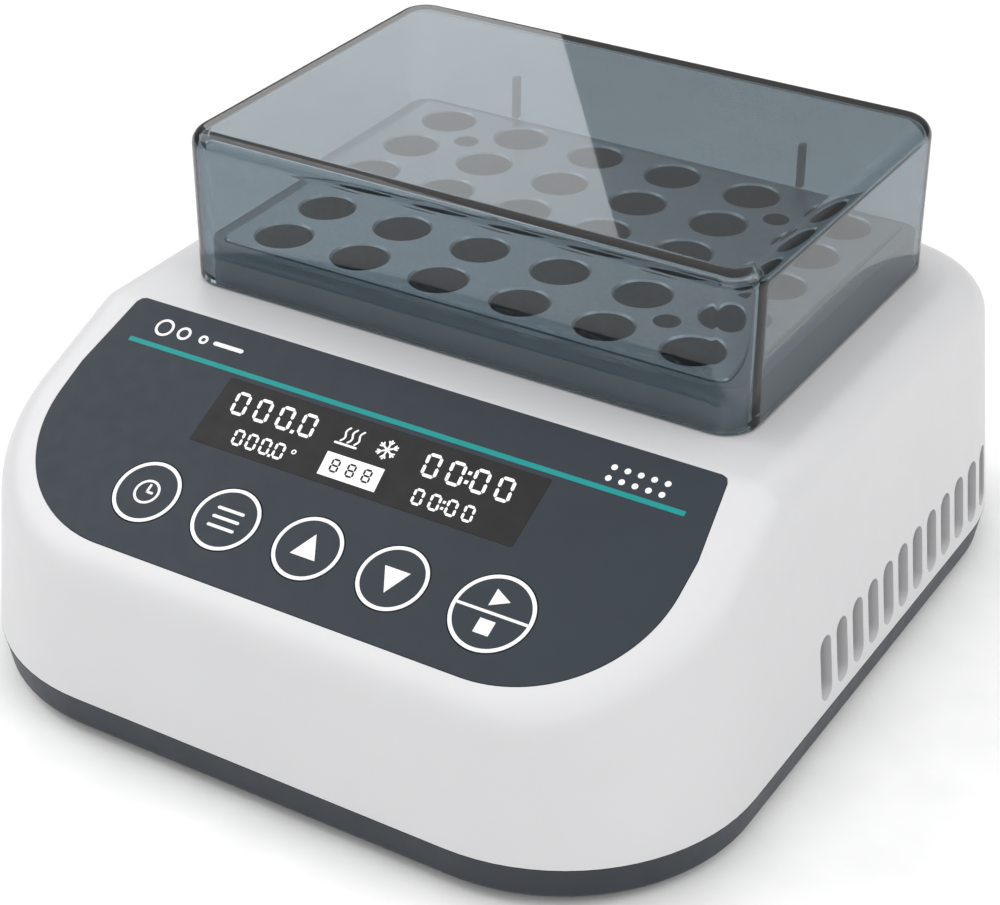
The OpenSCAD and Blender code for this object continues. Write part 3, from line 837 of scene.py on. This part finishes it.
def digit(char, x, y, h, thick):
    """Seven-segment digit with its lower left corner at x, y. Returns shapes."""
    w = h * DIGIT_WIDTH
    g = thick * 0.16
    t = thick / 2

    def lean(px, py):
        return (x + px + DIGIT_SLANT * py, y + py)

    def across(y0):
        pts = [(g + t, y0 - t), (w - g - t, y0 - t), (w - g, y0)]
        pts += [(w - g - t, y0 + t), (g + t, y0 + t), (g, y0)]
        return [lean(*p) for p in pts]

    def upright(x0, y0, y1):
        pts = [(x0, y0 + g), (x0 + t, y0 + g + t), (x0 + t, y1 - g - t), (x0, y1 - g)]
        pts += [(x0 - t, y1 - g - t), (x0 - t, y0 + g + t)]
        return [lean(*p) for p in pts]

    shapes = {
        "a": across(h),
        "d": across(0),
        "g": across(h / 2),
        "f": upright(0, h / 2, h),
        "b": upright(w, h / 2, h),
        "e": upright(0, 0, h / 2),
        "c": upright(w, 0, h / 2),
    }
    return [[shapes[s]] for s in SEGMENTS[char]]


def readout(text, x, y, h, thick, pitch):
    """A row of digits, with points and colons in the gaps between them. Returns its shapes."""
    shapes = []
    gap = h * pitch - h * DIGIT_WIDTH
    half = thick * 0.55
    dots = {".": (0.0,), ":": (0.28, 0.72)}
    for char in text:
        if char in dots:
            for share in dots[char]:
                px, py = x - gap / 2 + DIGIT_SLANT * h * share, y + h * share
                left, right, low, high = px - half, px + half, py - half, py + half
                shapes.append([[(left, low), (right, low), (right, high), (left, high)]])
        else:
            shapes += digit(char, x, y, h, thick)
            x += h * pitch
    return shapes


def heat_icon(x, y):
    """Three rising waves over a bar."""
    steps = 6
    shapes = [[bar(x - 2.4, y - 1.8, x + 2.0, y - 1.8, 0.45)]]
    for k in range(3):
        x0 = x - 1.6 + 1.5 * k
        wave = []
        for i in range(steps + 1):
            t = i / steps
            wave.append((x0 + 0.35 * math.sin(t * 2 * math.pi) + 0.5 * t, y - 1.2 + 3.0 * t))
        for a, b in zip(wave, wave[1:]):
            shapes.append([bar(*a, *b, 0.38)])
    return shapes


def cool_icon(x, y):
    """A six-armed frost star."""
    shapes = []
    for i in range(6):
        a = math.radians(30 + 60 * i)
        tip = (x + 2.0 * math.cos(a), y + 2.0 * math.sin(a))
        shapes.append([bar(x, y, *tip, 0.36)])
        for side in (-1, 1):
            b = a + side * math.radians(35)
            root = (x + 1.1 * math.cos(a), y + 1.1 * math.sin(a))
            shapes.append([bar(*root, root[0] + 0.8 * math.cos(b), root[1] + 0.8 * math.sin(b), 0.3)])
    return shapes


def make_display():
    """Lit segments and symbols of the display."""
    shapes = readout("000.0", -30.2, -18.0, 4.4, 0.66, pitch=1.136)
    shapes += readout("000.0", -26.1, -24.1, 3.0, 0.5, pitch=1.0)
    shapes.append(ring_loops(-13.6, -21.8, 0.5, 0.24))
    shapes += readout("00:00", 11.4, -18.0, 4.4, 0.66, pitch=1.136)
    shapes += readout("00:00", 12.7, -24.0, 2.95, 0.5, pitch=1.17)
    shapes += heat_icon(-5.0, -15.4)
    shapes += cool_icon(2.8, -15.5)
    badge = [[(-7.0, -24.4), (5.2, -24.4), (4.6, -19.4), (-7.6, -19.4)]]
    shapes.append(badge)
    printed("display_segments", shapes, LCD_TOP, LCD_LIT, "housing")
    dark = readout("888", -5.2, -23.1, 2.5, 0.4, pitch=1.36)
    printed("display_badge_digits", dark, LCD_TOP + PRINT_T * 0.6, LCD_FACE, "housing")


# ---------- stage ----------


def make_camera():
    """Long lens, from the front right and above."""
    azimuth, elevation = math.radians(31.365), math.radians(31.35)
    camera = bpy.data.cameras.new("camera")
    camera.lens = 86.4
    camera.sensor_width = 36
    camera.clip_start = 0.01
    camera.clip_end = 20
    obj = link(bpy.data.objects.new("camera", camera))
    back = Vector(
        (
            math.sin(azimuth) * math.cos(elevation),
            -math.cos(azimuth) * math.cos(elevation),
            math.sin(elevation),
        )
    )
    obj.rotation_mode = "QUATERNION"
    obj.rotation_quaternion = (-back).to_track_quat("-Z", "Y")
    obj.location = Vector((209.36, -348.14, 276.07)) * MM
    bpy.context.scene.camera = obj


def area_light(name, location, target, size, power, color=(1, 1, 1)):
    light = bpy.data.lights.new(name, "AREA")
    light.shape = "RECTANGLE"
    light.size, light.size_y = size
    light.energy = power
    light.color = color
    obj = link(bpy.data.objects.new(name, light))
    obj.location = location
    obj.rotation_mode = "QUATERNION"
    obj.rotation_quaternion = (Vector(target) - Vector(location)).to_track_quat("-Z", "Y")


def reflection_card():
    """A soft box behind the cover; its slanted right edge shows as the line across the lid."""
    light = bpy.data.lights.new("card", "AREA")
    light.shape = "RECTANGLE"
    light.size, light.size_y = 0.75, 0.50
    light.energy = 1.8
    obj = link(bpy.data.objects.new("card", light))
    tilt = math.radians(19)
    obj.rotation_mode = "QUATERNION"
    obj.rotation_quaternion = (
        Matrix.Rotation(tilt, 3, "Y") @ Matrix.Rotation(math.radians(-90), 3, "X")
    ).to_quaternion()
    obj.location = (-0.837, 0.90, 0.665)


def make_world():
    """Soft studio sky: bright overhead and dimmer towards the horizon."""
    world = bpy.data.worlds.new("studio")
    world.use_nodes = True
    nodes, links = world.node_tree.nodes, world.node_tree.links
    coords = nodes.new("ShaderNodeTexCoord")
    split = nodes.new("ShaderNodeSeparateXYZ")
    sky = nodes.new("ShaderNodeMapRange")
    sky.inputs["From Min"].default_value = 0.35
    sky.inputs["From Max"].default_value = 0.85
    sky.inputs["To Min"].default_value = 0.32
    sky.inputs["To Max"].default_value = 1.25
    nodes["Background"].inputs["Color"].default_value = (1, 1, 1, 1)
    links.new(coords.outputs["Generated"], split.inputs["Vector"])
    links.new(split.outputs["Z"], sky.inputs["Value"])
    links.new(sky.outputs["Result"], nodes["Background"].inputs["Strength"])
    bpy.context.scene.world = world


def make_stage():
    """Pale floor, sky and soft lights."""
    floor = mesh_object("floor", [(-3000, -3000, 0), (3000, -3000, 0), (3000, 3000, 0), (-3000, 3000, 0)],
                        [(0, 1, 2, 3)], moulded("floor_white", (0.93, 0.93, 0.93), 0.8))
    make_world()
    area_light("key", (-0.75, -0.15, 0.75), (0, 0, 0.05), (0.7, 0.7), 3.0)
    area_light("fill_right", (0.85, 0.10, 0.75), (0, 0, 0.05), (0.7, 0.7), 2.5)
    area_light("fill_front", (0.3, -0.9, 0.6), (0, 0, 0.04), (0.8, 0.6), 2.0)
    reflection_card()


bpy.context.scene.view_settings.view_transform = "Standard"
make_camera()
dress_cad_nodes()
make_upper_shell()
make_base_tray()
make_block()
make_cover()
make_overlay()
make_marks()
make_keys()
make_display()
make_stage()
